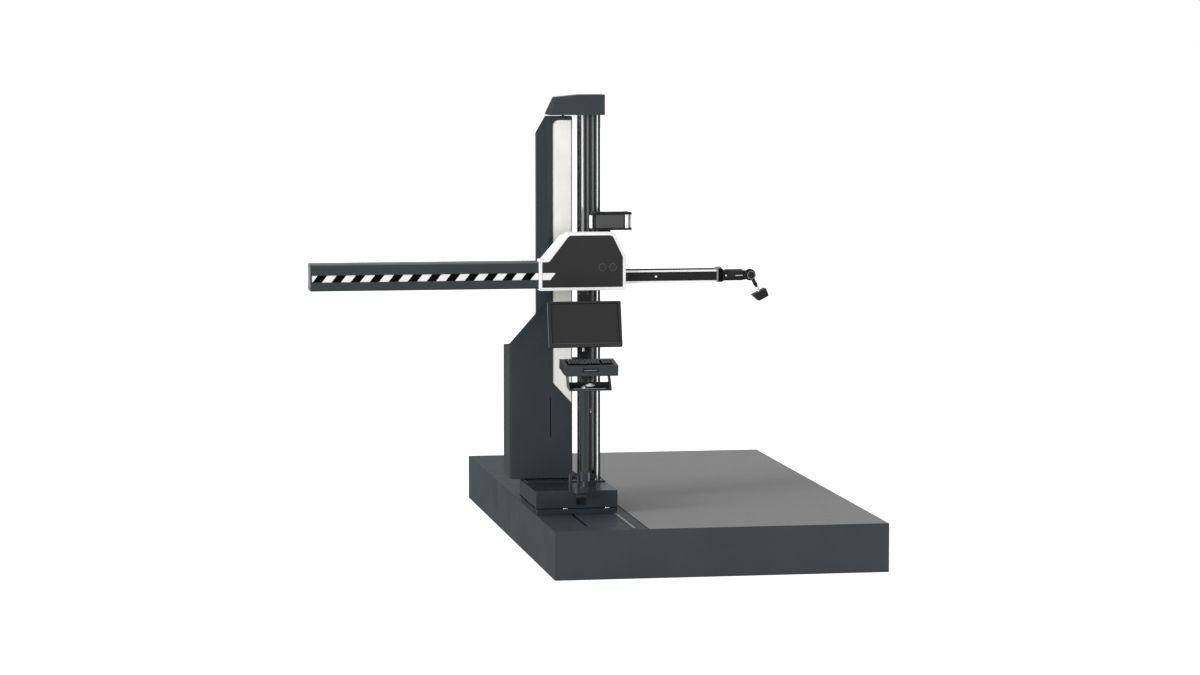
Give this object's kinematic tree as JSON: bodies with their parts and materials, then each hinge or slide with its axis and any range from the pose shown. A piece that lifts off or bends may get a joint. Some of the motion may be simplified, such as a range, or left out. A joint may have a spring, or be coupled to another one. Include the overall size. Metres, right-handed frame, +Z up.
{
  "type": "horizontal arm coordinate measuring machine",
  "caption": "Horizontal arm coordinate measuring machine: a column on a stone plate carries a sliding arm in a striped housing, with a tilting scanner and an operator stand.",
  "frame": {"origin": "centre of the surface plate's underside, on the floor", "axes": "+X along the arm towards the scanner, +Y along the guideway away from the operator, +Z up"},
  "size_m": [3.83, 4.26, 3.212],
  "materials": {
    "stone_plate": "honed",
    "ground_steel": "ground",
    "dark_cover": "satin",
    "dark_machined": "satin",
    "column_black": "satin",
    "bar_steel": "polished",
    "belt_rubber": "matte",
    "wheel_aluminium": "machined",
    "weight_iron": "matte",
    "light_panel": "satin",
    "white_shell": "satin",
    "black_panel": "satin",
    "dark_plastic": "matte",
    "glide_plastic": "matte",
    "housing_paint": "satin",
    "stripe_white": "satin",
    "box_grey": "satin",
    "cheek_white": "satin",
    "arm_black": "satin",
    "rail_aluminium": "anodised",
    "probe_black": "satin",
    "steel_trim": "brushed",
    "screen_glass": "gloss",
    "window_glass": "gloss",
    "mouse_white": "satin"
  },
  "bodies": {
    "base": {"surface_plate": "stone_plate", "scale_strip": "ground_steel"},
    "carriage": {"carriage_base": "dark_machined", "glide_pads": "glide_plastic", "seam_bushes": "steel_trim", "carriage_body": "dark_cover", "front_socket": "dark_plastic", "column_flange": "dark_cover", "column_beam": "column_black", "guide_bars": "bar_steel", "column_channel": "column_black", "lift_belts": "belt_rubber", "pulley_brackets": "dark_machined", "tower_front_cover": "dark_cover", "light_panel": "light_panel", "tower_cabinet": "dark_cover", "rear_cover": "dark_cover", "tower_feet": "dark_plastic", "cable_bridge": "dark_cover", "top_cap": "dark_cover", "home_cam": "steel_trim", "post_bracket": "dark_cover"},
    "upper_wheels": {"upper_pulleys": "wheel_aluminium"},
    "lower_wheels": {"lower_pulleys": "wheel_aluminium"},
    "weight": {"counterweight": "weight_iron"},
    "head": {"head_shell": "white_shell", "front_panel": "black_panel", "button_rings": "steel_trim", "head_body": "dark_machined", "head_saddle": "dark_machined", "glide_blocks": "glide_plastic", "rear_housing": "housing_paint", "housing_end_cap": "housing_paint", "hazard_stripes": "stripe_white", "box_plates": "box_grey", "box_body": "box_grey", "box_cheeks": "cheek_white"},
    "left_button": {"button_left": "dark_plastic"},
    "right_button": {"button_right": "dark_plastic"},
    "arm": {"arm_beam": "arm_black", "arm_rails": "rail_aluminium", "arm_cover_strip": "dark_plastic", "arm_flange": "probe_black", "arm_clip": "steel_trim", "probe_body": "probe_black"},
    "wrist": {"probe_rotor": "probe_black"},
    "probe": {"probe_knuckle": "probe_black", "scanner_adapter": "probe_black", "scanner_body": "probe_black", "scanner_window": "window_glass"},
    "stand": {"post_clamp": "dark_machined", "monitor_post": "column_black", "monitor_rail": "dark_machined", "tray_bracket": "dark_machined"},
    "monitor": {"monitor_case": "dark_plastic", "monitor_screen": "screen_glass"},
    "tray": {"tray_shelf": "dark_cover", "keyboard": "dark_plastic", "mouse_tray": "dark_cover", "mouse": "mouse_white"}
  },
  "joints": [
    {"name": "carriage_travel", "type": "slide", "parent": "base", "child": "carriage", "axis": [0, 1, 0], "range_m": [-0.7, 2.6]},
    {"name": "head_lift", "type": "slide", "parent": "carriage", "child": "head", "axis": [0, 0, 1], "range_m": [-1.35, 0.75]},
    {"name": "weight_travel", "type": "slide", "parent": "carriage", "child": "weight", "axis": [0, 0, 1], "range_m": [-0.75, 1.35]},
    {"name": "upper_wheels_turn", "type": "hinge", "parent": "carriage", "child": "upper_wheels", "pos_m": [-0.674, -0.7502, 3.132], "axis": [1, 0, 0], "continuous": true},
    {"name": "lower_wheels_turn", "type": "hinge", "parent": "carriage", "child": "lower_wheels", "pos_m": [-0.674, -0.7502, 0.606], "axis": [1, 0, 0], "continuous": true},
    {"name": "arm_reach", "type": "slide", "parent": "head", "child": "arm", "axis": [1, 0, 0], "range_m": [-0.62, 0.98]},
    {"name": "probe_turn", "type": "hinge", "parent": "arm", "child": "wrist", "pos_m": [0.349, -1.08, 1.957], "axis": [1, 0, 0], "range_deg": [-180, 180]},
    {"name": "probe_tilt", "type": "hinge", "parent": "wrist", "child": "probe", "pos_m": [0.406, -1.08, 1.957], "axis": [0, 1, 0], "range_deg": [-60, 45]},
    {"name": "left_button_press", "type": "slide", "parent": "head", "child": "left_button", "axis": [0, 1, 0], "range_m": [0, 0.003], "stiffness_N_per_m": 500, "springref_m": -0.002},
    {"name": "right_button_press", "type": "slide", "parent": "head", "child": "right_button", "axis": [0, 1, 0], "range_m": [0, 0.003], "stiffness_N_per_m": 500, "springref_m": -0.002},
    {"name": "stand_swivel", "type": "hinge", "parent": "carriage", "child": "stand", "pos_m": [-0.815, -1.36, 0.557], "axis": [0, 0, 1], "range_deg": [-45, 45]},
    {"name": "monitor_tilt", "type": "hinge", "parent": "stand", "child": "monitor", "pos_m": [-0.836, -1.434, 1.648], "axis": [1, 0, 0], "range_deg": [-5, 20]},
    {"name": "tray_tilt", "type": "hinge", "parent": "stand", "child": "tray", "pos_m": [-0.815, -1.432, 1.321], "axis": [1, 0, 0], "range_deg": [-8, 10]}
  ],
  "couplings": [
    {"joint": "weight_travel", "follows": "head_lift", "ratio": -1},
    {"joint": "upper_wheels_turn", "follows": "head_lift", "rad_per_m": -20},
    {"joint": "lower_wheels_turn", "follows": "head_lift", "rad_per_m": -20}
  ]
}
